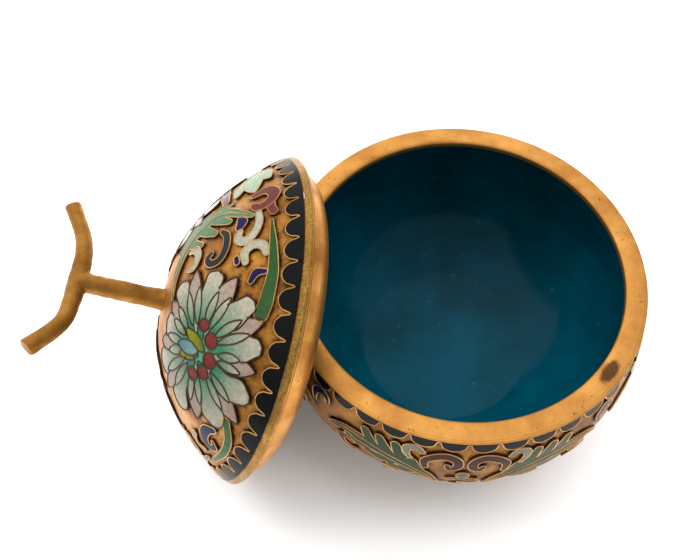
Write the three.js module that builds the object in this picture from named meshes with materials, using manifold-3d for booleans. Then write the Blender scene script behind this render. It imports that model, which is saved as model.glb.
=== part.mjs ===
// Cloisonne enamel box: a squat apple-shaped bowl standing on its foot ring, and its domed lid,
// which is off, standing on its edge and leaning against the bowl's rim.
// Millimetres, +Z up. The bowl's axis is vertical and the foot stands on z = 0.
import * as THREE from 'three';
import { mergeVertices } from 'three/addons/utils/BufferGeometryUtils.js';
import Module from 'manifold-3d';

const wasm = await Module();
wasm.setup();

// ---- driving dimensions -------------------------------------------------------------------
const SEGMENTS = 36;            // facets round every turned piece
const GAP = 0.05;               // between turned pieces that fit into each other
const RELIEF_GAP = 0.3;         // under the raised enamel plates
const RELIEF = 0.35;            // thickness of a raised plate

const BULGE_R = 37.5, BULGE_Z = 24.5;       // widest part of the bowl
const SHOULDER_R = 35.0, SHOULDER_Z = 39.0; // where the wall meets the gilt rim
const LOWER_POWER = 1.95;                   // roundness of the lower half
const FOOT_Z = 2.0, FOOT_WIDTH = 2.4;       // the body ends here, on the foot ring
const COPPER = 1.2, ENAMEL = 0.6;           // the two layers of the wall
const RIM_IN = 31.5, RIM_OUT = 35.6, RIM_TOP = 39.65;
const RIM_LIP = 1.75, RIM_SEAT = 0.5;       // depth of its inner lip, and of its seat on the wall

const LID_R = 32.98, LID_RISE = 18.46, LID_POWER = 2.246;
const LID_EDGE = 1.25;                      // width of the gilt edge round the lid's enamel
const LID_COPPER = 1.0, LID_LINING = 0.5;
const FLANGE_R = 27.3, FLANGE_Z = -5.06;
const LID_TILT = 0.418, LID_TURN = -0.01;   // the lid's axis: above the floor, and round the bowl
const LID_CENTRE = new THREE.Vector3(-41.5, -5.36, LID_R * Math.cos(LID_TILT) + 0.02);

const STALK_R = 1.95, STALK_LENGTH = 16.0, TWIG_R = 1.6;
const TWIG = [[-16.9, 19.7], [-13.5, 18.0], [-10, 16.5], [-6, 15.8], [-1, 15.9], [3.9, 16.3],
  [7.6, 16.9], [10.6, 18.8], [14.1, 21.9]]; // across the lid, and above its top

const LID_SCALLOPS = 45, BOWL_SCALLOPS = 42, BOWL_REPEATS = 4;
const BOWL_FRONT = -93.1;                   // azimuth of one repeat's middle, degrees

// The three flowers' turns about the lid's axis, degrees.
const FLOWER_TURNS = [0, 140, 252];
// A petal: its direction from the flower's own centre (degrees), its reach and its notch.
const FLOWER_AT = [15.9, 13.8];
const PETALS = [[107, 14.9], [91, 15.2], [72, 13.6], [50, 12.4], [21.5, 13.2], [-2.5, 14.6],
  [-25, 14.9], [-48, 14.8], [-70, 16.4], [-87, 16.8], [-103, 15.8], [-118, 13.4], [-137, 12.4],
  [-155, 12.6], [-172, 14.2], [170, 14.8], [148, 14.9], [131, 15.2]];

// ---- helpers ------------------------------------------------------------------------------
const rad = (deg) => deg * Math.PI / 180;

/** A meridian given as [r, z] points; finds the point a given length along it, lifted by h. */
class Meridian {
  constructor(points) {
    this.points = points;
    this.length = [0];
    for (let i = 1; i < points.length; i++) {
      const [a, b] = [points[i - 1], points[i]];
      this.length.push(this.length[i - 1] + Math.hypot(b[0] - a[0], b[1] - a[1]));
    }
    this.total = this.length[points.length - 1];
  }
  at(s, h = 0) {
    let i = 1;
    while (i < this.points.length - 1 && this.length[i] < s) i++;
    const [a, b] = [this.points[i - 1], this.points[i]];
    const step = this.length[i] - this.length[i - 1];
    const k = (s - this.length[i - 1]) / step;
    const [dr, dz] = [(b[0] - a[0]) / step, (b[1] - a[1]) / step];
    return [a[0] + k * (b[0] - a[0]) - h * dz, a[1] + k * (b[1] - a[1]) + h * dr];
  }
  /** n + 1 points evenly spaced between two lengths, lifted by h. */
  run(from, to, n, h = 0) {
    return Array.from({ length: n + 1 }, (_, i) => this.at(from + (to - from) * i / n, h));
  }
}

/** One closed body with its faces outward, from any indexed or plain geometry. */
function closed(geometry) {
  geometry.deleteAttribute('normal');
  geometry.deleteAttribute('uv');
  const merged = mergeVertices(geometry, 1e-4);
  const p = merged.attributes.position, index = merged.index.array, kept = [];
  let volume = 0;
  const [a, b, c] = [new THREE.Vector3(), new THREE.Vector3(), new THREE.Vector3()];
  for (let i = 0; i < index.length; i += 3) {
    const [x, y, z] = [index[i], index[i + 1], index[i + 2]];
    if (x === y || y === z || z === x) continue;
    kept.push(x, y, z);
    a.fromBufferAttribute(p, x); b.fromBufferAttribute(p, y); c.fromBufferAttribute(p, z);
    volume += a.dot(b.cross(c));
  }
  if (volume < 0) for (let i = 0; i < kept.length; i += 3) {
    [kept[i + 1], kept[i + 2]] = [kept[i + 2], kept[i + 1]];
  }
  merged.setIndex(kept);
  return merged;
}

/** A turned piece from an [r, z] profile. */
function turned(profile) {
  const points = profile.map(([r, z]) => new THREE.Vector2(Math.max(r, 0), z));
  return closed(new THREE.LatheGeometry(points, SEGMENTS).rotateX(Math.PI / 2));
}

/** A plate of even thickness: flat points and triangles, laid on a surface by place(point, h). */
function plate(points, triangles, place, low = RELIEF_GAP, high = RELIEF_GAP + RELIEF) {
  const n = points.length, position = [], index = [];
  for (const h of [high, low]) for (const q of points) position.push(...place(q, h).toArray());
  const edges = new Set(triangles.flatMap(([a, b, c]) => [`${a},${b}`, `${b},${c}`, `${c},${a}`]));
  for (const [a, b, c] of triangles) index.push(a, b, c, n + a, n + c, n + b);
  for (const edge of edges) {
    const [i, j] = edge.split(',').map(Number);
    if (!edges.has(`${j},${i}`)) index.push(j, i, n + i, j, n + i, n + j);
  }
  const geometry = new THREE.BufferGeometry();
  geometry.setAttribute('position', new THREE.Float32BufferAttribute(position, 3));
  geometry.setIndex(index);
  return closed(geometry);
}

/** A ribbon plate along a flat curve; width(t) is its half width from start to end. */
function ribbon(spine, width, steps, place) {
  const curve = new THREE.CatmullRomCurve3(spine.map(([x, y]) => new THREE.Vector3(x, y, 0)));
  const points = [], triangles = [];
  for (let i = 0; i <= steps; i++) {
    const c = curve.getPoint(i / steps), t = curve.getTangent(i / steps), w = width(i / steps);
    points.push([c.x - t.y * w, c.y + t.x * w], [c.x + t.y * w, c.y - t.x * w]);
    if (i) triangles.push([2 * i - 2, 2 * i - 1, 2 * i + 1], [2 * i - 2, 2 * i + 1, 2 * i]);
  }
  return plate(points, triangles, place);
}

/** A flower plate: rings round its centre, the outermost following the petals' tips and notches. */
function flower(centre, petals, place) {
  const outline = [];
  petals.forEach(([angle, reach], i) => {
    const next = petals[(i + 1) % petals.length];
    const turn = ((next[0] - angle) % 360 - 360) % 360;
    outline.push([angle, reach], [angle + turn / 2, Math.min(reach, next[1]) - 3.2]);
  });
  outline.reverse();
  const points = [centre], triangles = [], n = outline.length;
  for (const part of [0.36, 0.7, 1]) for (const [angle, reach] of outline) {
    const even = part < 1 ? part * 12 : reach;
    points.push([centre[0] + even * Math.cos(rad(angle)), centre[1] + even * Math.sin(rad(angle))]);
  }
  for (let i = 0; i < n; i++) {
    const j = (i + 1) % n;
    triangles.push([0, 1 + i, 1 + j]);
    for (const ring of [0, n]) triangles.push([1 + ring + i, 1 + ring + n + i, 1 + ring + n + j],
      [1 + ring + i, 1 + ring + n + j, 1 + ring + j]);
  }
  return plate(points, triangles, place);
}

/** A ring plate, straight on its outer side and scalloped on its inner side. */
function scallops(count, start, steps, edge, depth, place) {
  const points = [], triangles = [], n = count * steps;
  for (let i = 0; i < n; i++) {
    const k = (i % steps) / steps, angle = start + 360 * i / n;
    points.push([angle, edge], [angle, edge + depth * (0.3 + 0.7 * Math.sin(Math.PI * k))]);
  }
  for (let i = 0; i < n; i++) {
    const [a, b] = [2 * i, 2 * ((i + 1) % n)];
    triangles.push([a + 1, a, b], [a + 1, b, b + 1]);
  }
  return plate(points, triangles, place);
}

/** Joins two closed bodies into one. */
function join(first, second) {
  const [a, b] = [first, second].map((g) => new wasm.Manifold(new wasm.Mesh({
    numProp: 3, vertProperties: new Float32Array(g.attributes.position.array),
    triVerts: new Uint32Array(g.index.array),
  })));
  const mesh = a.add(b).getMesh();
  const geometry = new THREE.BufferGeometry();
  geometry.setAttribute('position', new THREE.BufferAttribute(mesh.vertProperties, 3));
  geometry.setIndex(new THREE.BufferAttribute(mesh.triVerts, 1));
  return closed(geometry);
}

/** A round rod along a curve of 3-D points. */
function rod(points, radius, sides, steps) {
  const circle = new THREE.Shape(Array.from({ length: sides }, (_, i) => new THREE.Vector2(
    radius * Math.cos(2 * Math.PI * i / sides), radius * Math.sin(2 * Math.PI * i / sides))));
  const extrudePath = new THREE.CatmullRomCurve3(points);
  return closed(new THREE.ExtrudeGeometry(circle, { steps, bevelEnabled: false, extrudePath }));
}

const looks = {
  copper: { color: '#a8743a', roughness: 0.55, metalness: 0.9 },
  gilt: { color: '#d9a055', roughness: 0.4, metalness: 0.95 },
  stem: { color: '#ae7c3c', roughness: 0.5, metalness: 0.9 },
  teal: { color: '#023a4c', roughness: 0.12, metalness: 0 },
  black: { color: '#26292b', roughness: 0.25, metalness: 0 },
  white: { color: '#cfe0d4', roughness: 0.25, metalness: 0 },
  green: { color: '#3f7550', roughness: 0.3, metalness: 0 },
  red: { color: '#6e2a30', roughness: 0.3, metalness: 0 },
  cobalt: { color: '#16164e', roughness: 0.3, metalness: 0 },
};

const group = new THREE.Group();
const bowl = new THREE.Group(), lid = new THREE.Group();
group.add(bowl, lid);

function add(parent, name, geometry, look) {
  const mesh = new THREE.Mesh(geometry, new THREE.MeshStandardMaterial(looks[look]));
  mesh.name = name;
  parent.add(mesh);
}

// ---- bowl ---------------------------------------------------------------------------------
const upper = Array.from({ length: 60 }, (_, i) => {
  const k = 1 - i / 60;
  return [SHOULDER_R + (BULGE_R - SHOULDER_R) * (1 - k * k),
    BULGE_Z + k * (SHOULDER_Z - BULGE_Z)];
});
const lower = Array.from({ length: 121 }, (_, i) => {
  const w = 0.93 * (1 - FOOT_Z / BULGE_Z) * i / 120;
  return [BULGE_R * (1 - w ** LOWER_POWER) ** (1 / LOWER_POWER), BULGE_Z * (1 - w / 0.93)];
});
const wall = new Meridian([...upper, ...lower]);
const FOOT_R = lower[120][0];

// the shell: outside down to the foot, flat bottom, and back up the inside
const shellIn = COPPER + 0.4, insideTop = 1.6, insideEnd = wall.total - 0.8;
add(bowl, 'bowl_body', turned([
  [0, FOOT_Z + COPPER], ...wall.run(insideEnd, insideTop, 5, -shellIn),
  [SHOULDER_R - shellIn, SHOULDER_Z - RIM_SEAT - 0.1], ...wall.run(0, wall.total, 9),
  [0, FOOT_Z]]), 'copper');
const outerSide = shellIn + GAP, innerSide = outerSide + ENAMEL;
add(bowl, 'bowl_lining', turned([
  [0, FOOT_Z + COPPER + GAP + ENAMEL], ...wall.run(insideEnd, insideTop, 5, -innerSide),
  [SHOULDER_R - innerSide, SHOULDER_Z - RIM_SEAT - 0.1],
  [SHOULDER_R - outerSide, SHOULDER_Z - RIM_SEAT - 0.1],
  ...wall.run(insideTop, insideEnd, 5, -outerSide), [0, FOOT_Z + COPPER + GAP]]), 'teal');

// the broad gilt rim lies on the wall's edge and reaches over the enamel inside
const rimUnder = SHOULDER_Z + 0.1, seat = SHOULDER_Z - RIM_SEAT;
add(bowl, 'bowl_rim', turned([
  [RIM_IN + 0.1, RIM_TOP - RIM_LIP], [RIM_IN + 1.0, RIM_TOP - RIM_LIP], [RIM_IN + 1.1, seat],
  [SHOULDER_R - shellIn, seat], [SHOULDER_R, rimUnder], [RIM_OUT, rimUnder],
  [RIM_OUT, RIM_TOP - 0.3], [RIM_OUT - 0.5, RIM_TOP - 0.05],
  [RIM_IN + 1.2, RIM_TOP], [RIM_IN, RIM_TOP - 0.5], [RIM_IN + 0.1, RIM_TOP - RIM_LIP],
]), 'gilt');

const footIn = FOOT_R - FOOT_WIDTH, footTop = FOOT_Z - GAP;
add(bowl, 'foot_ring', turned([
  [footIn, 0], [FOOT_R - 0.2, 0], [FOOT_R, footTop], [footIn, footTop], [footIn, 0]]), 'gilt');
add(bowl, 'base_enamel', turned([
  [0, footTop], [footIn - GAP, footTop], [footIn - GAP, footTop - ENAMEL],
  [0, footTop - ENAMEL]]), 'teal');

/** Bowl surface: [azimuth in degrees, length below the shoulder]. */
const onBowl = ([azimuth, s], h) => {
  const [r, z] = wall.at(s, h);
  return new THREE.Vector3(r * Math.cos(rad(azimuth)), r * Math.sin(rad(azimuth)), z);
};
/** Bowl surface about one repeat's middle: [mm to the right, mm up from the shoulder]. */
const onRepeat = (repeat, side) => ([x, y], h) =>
  onBowl([BOWL_FRONT + 360 * repeat / BOWL_REPEATS + side * x / BULGE_R * 180 / Math.PI, -y], h);

add(bowl, 'bowl_border', scallops(BOWL_SCALLOPS, BOWL_FRONT, 3, 0.4, 2.2, onBowl), 'black');

// each repeat: on either side of its middle a curled scroll with a leaf below it, and a cobalt
// hook at its left end
const LEAF = [[4.8, -17.4], [6.9, -13.6], [10.4, -10.3], [14.5, -8.3], [19, -7.6], [23.2, -8.4],
  [26.0, -10.6]];
const SCROLL = [[7.3, -8.4], [7.3, -6.6], [5.9, -4.8], [3.8, -4.4], [1.9, -5.5], [1.6, -7.5],
  [2.8, -8.5]];
const HOOK = [[-28.4, -5.6], [-28.9, -4.3], [-30.5, -3.9], [-31.7, -5.4], [-31.4, -8.0]];
const bandWidth = () => 0.75;
const leafWidth = (t) => 0.5 + 2 * Math.sin(Math.PI * t) ** 0.8;
for (let repeat = 0; repeat < BOWL_REPEATS; repeat++) {
  for (const side of [-1, 1]) {
    const name = `${repeat + 1}${side < 0 ? 'a' : 'b'}`;
    const run = (points) => side < 0 ? [...points].reverse() : points;
    const place = onRepeat(repeat, side);
    add(bowl, `bowl_leaf_${name}`, ribbon(run(LEAF), leafWidth, 8, place), 'green');
    add(bowl, `bowl_scroll_${name}`, ribbon(run(SCROLL), bandWidth, 9, place), 'red');
  }
  add(bowl, `bowl_cobalt_${repeat + 1}`, ribbon(HOOK, bandWidth, 7, onRepeat(repeat, 1)), 'cobalt');
}

// ---- lid ----------------------------------------------------------------------------------
const dome = new Meridian(Array.from({ length: 161 }, (_, i) => {
  const k = i / 160;
  return [LID_R * k, LID_RISE * (1 - k ** LID_POWER)];
}));
const enamelEnd = dome.total - LID_EDGE;
const inner = LID_COPPER + GAP, innermost = inner + LID_LINING;

add(lid, 'lid_body', turned([
  [0, LID_RISE], ...dome.run(4, enamelEnd, 7), ...dome.run(enamelEnd - 2.2, 4, 5, -LID_COPPER),
  [0, LID_RISE - LID_COPPER]]), 'copper');
add(lid, 'lid_lining', turned([
  [0, LID_RISE - inner], ...dome.run(4, enamelEnd - 2.2, 5, -inner),
  ...dome.run(enamelEnd - 2.6, 4, 5, -innermost), [0, LID_RISE - innermost]]), 'teal');

// the gilt edge and the rounded flange that seats in the bowl's mouth, in one ring
const edgeTop = dome.at(enamelEnd + GAP);
const edgeIn = dome.at(enamelEnd + GAP, -LID_COPPER);
add(lid, 'lid_rim', turned([
  edgeTop, [LID_R, 0], [LID_R - 0.4, -0.8], [LID_R - 1.5, -1.0], [FLANGE_R + 3.4, -2.6],
  [FLANGE_R + 2.2, -4.1], [FLANGE_R, FLANGE_Z], [FLANGE_R - 0.4, FLANGE_Z + 0.6],
  [FLANGE_R + 1.6, -3.0],
  [edgeIn[0] - 0.9, edgeIn[1] - 0.75], edgeIn, edgeTop]), 'gilt');

/** Lid surface: [u, v] measured over the dome from its top. */
const onLid = (turn) => ([u, v], h) => {
  const [r, z] = dome.at(Math.hypot(u, v), h);
  const angle = Math.atan2(v, u) + rad(turn);
  return new THREE.Vector3(r * Math.cos(angle), r * Math.sin(angle), z);
};
const onLidRing = ([azimuth, s], h) => {
  const [r, z] = dome.at(enamelEnd - s, h);
  return new THREE.Vector3(r * Math.cos(rad(azimuth)), r * Math.sin(rad(azimuth)), z);
};
add(lid, 'lid_border', scallops(LID_SCALLOPS, 0.9, 3, 0.1, 3.4,
  (point, h) => onLidRing(point, h)), 'black');

const bladeWidth = (t) => 0.35 + 0.65 * t;
FLOWER_TURNS.forEach((turn, k) => {
  const place = onLid(turn);
  add(lid, `lid_flower_${k + 1}`, flower(FLOWER_AT, PETALS, place), 'white');
  add(lid, `lid_blade_${k + 1}`, ribbon(
    [[-3.8, 31.4], [2.5, 32.0], [8.6, 31.3], [12.4, 29.6]], bladeWidth, 5, place), 'green');
});
add(lid, 'lid_leaf', ribbon(
  [[-8.6, 27.2], [-10.6, 21.5], [-8.6, 15.2], [-4.4, 10.4], [0.6, 8.9]],
  (t) => 0.5 + 2.0 * Math.sin(Math.PI * t ** 0.9), 6, onLid(0)), 'green');

// the stem: a straight stalk out of the dome's top, with a bowed twig soldered across its end
const over = (p, q) => new THREE.Vector3(p, 0, LID_RISE + q);
const stalk = rod([over(0, 0.35), over(-0.2, STALK_LENGTH / 2), over(-0.6, STALK_LENGTH)],
  STALK_R, 12, 2);
add(lid, 'stem', join(stalk, rod(TWIG.map(([p, q]) => over(p, q)), TWIG_R, 10, 14)), 'stem');

// the lid stands on its edge: its axis tilted above the floor, its dome turned from the bowl
const axis = new THREE.Vector3(-Math.cos(LID_TILT) * Math.cos(LID_TURN),
  -Math.cos(LID_TILT) * Math.sin(LID_TURN), Math.sin(LID_TILT));
const across = new THREE.Vector3(0, 0, 1).cross(axis).normalize();
lid.quaternion.setFromRotationMatrix(
  new THREE.Matrix4().makeBasis(across, axis.clone().cross(across), axis));
lid.position.copy(LID_CENTRE);

// the origin: under the middle of the whole, on the surface it stands on
group.updateMatrixWorld(true);
const middle = new THREE.Box3().setFromObject(group, true).getCenter(new THREE.Vector3());
group.position.set(-middle.x, -middle.y, 0);

export default group;
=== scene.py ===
# %% [markdown]
# # A cloisonne enamel box
# A squat copper bowl and its domed lid. On the real box thin gilt wires are bent into outlines,
# fixed on the copper and filled with ground glass, which is fired and polished. Here the ground
# between the motifs is left bare and gilt, so each motif stands proud like a small island.

# %% Load the frame
import math
import bmesh
import bpy
import numpy as np
from mathutils import Matrix, Vector, geometry, kdtree
from mathutils import noise as blender_noise


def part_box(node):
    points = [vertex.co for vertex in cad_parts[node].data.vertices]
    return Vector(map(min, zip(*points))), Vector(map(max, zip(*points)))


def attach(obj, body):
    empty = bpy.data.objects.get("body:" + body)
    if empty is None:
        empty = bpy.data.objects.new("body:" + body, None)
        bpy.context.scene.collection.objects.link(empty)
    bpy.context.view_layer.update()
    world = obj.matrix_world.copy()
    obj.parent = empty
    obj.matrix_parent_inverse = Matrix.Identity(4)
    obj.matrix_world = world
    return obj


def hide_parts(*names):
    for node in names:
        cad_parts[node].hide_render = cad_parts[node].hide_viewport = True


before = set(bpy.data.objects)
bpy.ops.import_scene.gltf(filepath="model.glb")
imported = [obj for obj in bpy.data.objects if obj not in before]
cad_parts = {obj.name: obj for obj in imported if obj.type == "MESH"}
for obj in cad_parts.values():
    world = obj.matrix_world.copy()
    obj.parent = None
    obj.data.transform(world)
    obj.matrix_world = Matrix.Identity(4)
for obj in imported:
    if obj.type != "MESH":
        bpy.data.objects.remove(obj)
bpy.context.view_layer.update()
MM = 0.001

# %% [markdown]
# ## Where things are
# The bowl's axis is the middle of its rim. The lid leans: its own axis points up and away from the
# bowl. Both numbers belong to how the box was put down, so they are named once and used everywhere.

# %% The bowl's axis and the lid's frame
low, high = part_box("bowl_rim")
BOWL = np.array([(low.x + high.x) / 2, (low.y + high.y) / 2, 0.0]) / MM
LID_R, LID_RISE, LID_POWER = 32.98, 18.46, 2.246
TILT, TURN = 0.418, -0.01   # radians that the lid's axis points up, and round the upright
LID_CENTRE = BOWL + np.array([-41.5, -5.36, LID_R * math.cos(TILT) + 0.02])
lid_axis = np.array([-math.cos(TILT) * math.cos(TURN), -math.cos(TILT) * math.sin(TURN), math.sin(TILT)])
lid_right = np.cross([0, 0, 1.0], lid_axis)
lid_right /= np.linalg.norm(lid_right)
lid_up = np.cross(lid_axis, lid_right)
print("bowl axis at", BOWL.round(2), "lid centre", LID_CENTRE.round(2))

# %% [markdown]
# ## Camera
# It looks down into the open box from the front, 17 cm away. A lens as long as the sensor is wide
# gives a thing this small a natural view. A camera can be aimed by a constraint or by angles; here
# two directions make its matrix, which also holds the slight roll.

# %% Camera
CAMERA_AT = Vector((BOWL[0] - 22.0, BOWL[1] - 70.46, 157.18)) * MM
LENS = 36.0
camera_data = bpy.data.cameras.new("camera")
camera = bpy.data.objects.new("camera", camera_data)
bpy.context.scene.collection.objects.link(camera)
bpy.context.scene.camera = camera
camera_data.sensor_width = LENS
camera_data.lens = LENS
camera_data.clip_start = 0.01
right = Vector((0.99980, -0.01747, -0.01006)).normalized()
ahead = Vector((0.0, 0.49906, -0.86657)).normalized()
up = right.cross(ahead)
turn = Matrix((right, up, -ahead)).transposed()
camera.matrix_world = Matrix.Translation(CAMERA_AT) @ turn.to_4x4()
print("camera at", [round(c, 4) for c in camera.location])

# %% [markdown]
# ## Colours and nodes
# Hex colours are stored for the screen, while a shader works in linear light, so one function turns
# them. Another adds any node with its settings and inputs, so a finish reads as a list of nodes.

# %% Colours, nodes and a new material
def colour(hex_value):
    """An sRGB hex colour as linear RGBA."""
    parts = [int(hex_value[i:i + 2], 16) / 255 for i in (1, 3, 5)]
    return [p / 12.92 if p <= 0.04045 else ((p + 0.055) / 1.055) ** 2.4 for p in parts] + [1.0]


def feed(tree, node, **inputs):
    """Gives a node its inputs, each another node's output or a plain value. They go by name, with
    _ for a space, or by number, as in _0."""
    for name, value in inputs.items():
        key = int(name[1:]) if name[1:].isdigit() else name.replace("_", " ")
        if isinstance(value, bpy.types.NodeSocket):
            tree.links.new(value, node.inputs[key])
        else:
            node.inputs[key].default_value = value


def add(tree, kind, settings=None, out=0, **inputs):
    """Adds a node with its settings and inputs, and returns one of its outputs."""
    node = tree.nodes.new(kind)
    for name, value in (settings or {}).items():
        setattr(node, name, value)
    feed(tree, node, **inputs)
    return node.outputs[out]


NOISE, RANGE, MIX = "ShaderNodeTexNoise", "ShaderNodeMapRange", "ShaderNodeMix"
MATH, VECTOR = "ShaderNodeMath", "ShaderNodeVectorMath"
COLOURS = {"data_type": "RGBA"}   # mixes input 6 with input 7 and gives output 2
TIMES, TIMES_PLUS = {"operation": "MULTIPLY"}, {"operation": "MULTIPLY_ADD"}
MINUS, LENGTH, DOT = {"operation": "SUBTRACT"}, {"operation": "LENGTH"}, {"operation": "DOT_PRODUCT"}


def material(name):
    """A new material; returns it, its tree, its Principled shader and object coordinates in mm."""
    made = bpy.data.materials.new(name)
    made.use_nodes = True
    tree = made.node_tree
    place = add(tree, "ShaderNodeTexCoord", out="Object")
    mm = add(tree, VECTOR, {"operation": "SCALE"}, _0=place, Scale=1 / MM)
    return made, tree, tree.nodes["Principled BSDF"], mm


print("mid grey is", round(colour("#808080")[0], 3), "in linear light")

# %% [markdown]
# ## Floor and light
# The box stands on pale paper in a white room. The room is brighter up, back and to the left, so the
# gilt and the glass have a soft bright side to reflect. Two wide lamps above throw the shadows. They
# are hidden from reflections, since a small bright disc would look like a flaw in the metal.

# %% Floor and lights
FLOOR_HALF = 1.5      # metres
FLOOR_DROP = 0.00002  # so that nothing lies exactly in the floor's plane


def pale_floor():
    """A square of white paper under the box."""
    made, tree, shader, mm = material("pale_paper")
    pulp = add(tree, NOISE, Vector=mm, Scale=1 / 60)
    tint = add(tree, MIX, COLOURS, 2, _0=pulp, _6=colour("#FFFFFF"), _7=colour("#FBFBFA"))
    feed(tree, shader, Base_Color=tint, Roughness=0.9, Specular_IOR_Level=0.1)
    mesh = bpy.data.meshes.new("floor")
    s = FLOOR_HALF
    mesh.from_pydata([(-s, -s, 0), (s, -s, 0), (s, s, 0), (-s, s, 0)], [], [(0, 1, 2, 3)])
    mesh.materials.append(made)
    floor = bpy.data.objects.new("floor", mesh)
    floor.location.z = -FLOOR_DROP
    bpy.context.scene.collection.objects.link(floor)


def lamp(name, at, size, power):
    """A round soft lamp aimed at the origin, that lights surfaces but isn't itself seen in them."""
    data = bpy.data.lights.new(name, "AREA")
    data.shape = "DISK"
    data.size = size
    data.energy = power
    made = bpy.data.objects.new(name, data)
    made.location = at
    made.rotation_mode = "QUATERNION"
    made.rotation_quaternion = (-Vector(at)).to_track_quat("-Z", "Y")
    made.visible_glossy = False
    bpy.context.scene.collection.objects.link(made)


def white_room(dim, bright, toward, wide):
    """A white room all round, brighter toward one direction and up to wide degrees from it."""
    world = bpy.data.worlds.new("white_room")
    bpy.context.scene.world = world
    world.use_nodes = True
    tree = world.node_tree
    way = add(tree, "ShaderNodeTexCoord", out="Generated")
    lean = add(tree, VECTOR, DOT, "Value", _0=way, _1=Vector(toward).normalized())
    level = add(tree, RANGE, {"interpolation_type": "SMOOTHSTEP"}, Value=lean,
                From_Min=math.cos(math.radians(wide)), From_Max=1.0, To_Min=dim, To_Max=bright)
    feed(tree, tree.nodes["Background"], Color=(1, 1, 1, 1), Strength=level)


pale_floor()
lamp("left_window", (-0.35, 0.42, 0.78), 1.0, 8.0)
lamp("right_window", (0.4, 0.25, 0.8), 1.0, 6.0)
white_room(0.58, 1.33, (-0.45, 0.55, 0.7), 85)
bpy.context.scene.view_settings.view_transform = "Standard"
print("floor, two lamps and a room")

# %% [markdown]
# ## Two curved surfaces
# Every motif is drawn flat, in millimetres, and then laid on a turned surface. A meridian is the
# surface's outline from its starting point; walking along it gives a radius and a height. Shrinking
# flat shapes on by a modifier would also work, but here every point's place is known exactly.

# %% Meridians of the bowl's wall and the lid's dome
class Meridian:
    def __init__(self, points):
        self.p = np.array(points, float)
        step = np.hypot(*np.diff(self.p, axis=0).T)
        self.s = np.r_[0, np.cumsum(step)]
        self.total = self.s[-1]
        t = np.gradient(self.p, self.s, axis=0)
        t /= np.linalg.norm(t, axis=1)[:, None]
        self.n = np.c_[-t[:, 1], t[:, 0]]

    def at(self, s, h=0.0):
        """Radius and height at length s, lifted by h."""
        pick = [np.interp(s, self.s, c) for c in (*self.p.T, *self.n.T)]
        return pick[0] + h * pick[2], pick[1] + h * pick[3]

    def run(self, start, end, n, h=0.0):
        """n radii and heights between two lengths, lifted by h."""
        return np.array([self.at(s, h) for s in np.linspace(start, end, n)])


BULGE_R, BULGE_Z, SHOULDER_R, SHOULDER_Z, LOWER_POWER, FOOT_Z = 37.5, 24.5, 35.0, 39.0, 1.95, 2.0
ROUND_IN = 0.93   # how much of the lower curve's quarter turn the wall uses before the foot
k = np.linspace(1, 0, 241)
upper = np.c_[SHOULDER_R + (BULGE_R - SHOULDER_R) * (1 - k**2), BULGE_Z + k * (SHOULDER_Z - BULGE_Z)]
w = np.linspace(0, ROUND_IN * (1 - FOOT_Z / BULGE_Z), 241)[1:]
lower = np.c_[BULGE_R * (1 - w**LOWER_POWER) ** (1 / LOWER_POWER), BULGE_Z * (1 - w / ROUND_IN)]
wall = Meridian(np.vstack([upper, lower]))
FOOT_R = lower[-1][0]
k = np.linspace(0, 1, 321)
dome = Meridian(np.c_[LID_R * k, LID_RISE * (1 - k**LID_POWER)])
ENAMEL_END = dome.total - 1.25
print("wall", round(wall.total, 2), "mm, dome", round(dome.total, 2), "mm")

# %% [markdown]
# ## Laying flat drawings on them
# A place function takes flat points and a height and gives points in space, so that one drawing can
# be laid anywhere round the bowl or the lid. On the lid distances run from the dome's top; on the
# bowl they run sideways from an azimuth and down from the shoulder.

# %% Places on the bowl and the lid
def lid_local(flat, h):
    """Flat millimetres measured from the dome's top, in the lid's own frame."""
    flat = np.atleast_2d(flat)
    rho = np.hypot(*flat.T)
    r, z = dome.at(rho, h)
    return np.c_[r * flat[:, 0] / rho, r * flat[:, 1] / rho, z]


def bowl_local(flat, h):
    """Flat millimetres (right, up from the shoulder) round the bowl's own axis."""
    flat = np.atleast_2d(flat)
    r, z = wall.at(-flat[:, 1], h)
    angle = flat[:, 0] / BULGE_R
    return np.c_[r * np.cos(angle), r * np.sin(angle), z]


def in_lid(points):
    """Points of the lid's own frame, in mm, put where the lid leans."""
    p = np.atleast_2d(points)
    return LID_CENTRE + p[:, :1] * lid_right + p[:, 1:2] * lid_up + p[:, 2:] * lid_axis


def on_lid(turn=0.0):
    """A place function for the lid, turned by some degrees about its axis."""
    def place(flat, h):
        flat = np.atleast_2d(flat)
        r, z = dome.at(np.hypot(*flat.T), h)
        angle = np.arctan2(flat[:, 1], flat[:, 0]) + math.radians(turn)
        return in_lid(np.c_[r * np.cos(angle), r * np.sin(angle), z])
    return place


def on_bowl(azimuth):
    """A place function for the bowl about one azimuth in degrees."""
    def place(flat, h):
        flat = np.atleast_2d(flat)
        r, z = wall.at(-flat[:, 1], h)
        angle = math.radians(azimuth) + flat[:, 0] / BULGE_R
        return BOWL + np.c_[r * np.cos(angle), r * np.sin(angle), z]
    return place


print("shoulder in front", on_bowl(-90)((0, 0), 0).round(2))
print("top of the dome", in_lid((0, 0, LID_RISE)).round(2))

# %% [markdown]
# ## Turning on a lathe
# Round metal work is turned or spun, so its pieces are made as a lathe makes them: a section is
# swept round an axis. Screw and spin tools do the same, but a loop over the angle keeps the points in
# a known order and lets the lid's pieces be turned about its leaning axis.

# %% Making and finishing a mesh
SMOOTH_UNDER = 40.0   # degrees; a sharper bend stays an edge


def mesh_object(name, points, faces, look):
    """A mesh object from points in mm."""
    mesh = bpy.data.meshes.new(name)
    mesh.from_pydata((np.asarray(points) * MM).tolist(), [], [list(map(int, f)) for f in faces])
    mesh.materials.append(look)
    made = bpy.data.objects.new(name, mesh)
    bpy.context.scene.collection.objects.link(made)
    return made


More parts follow.
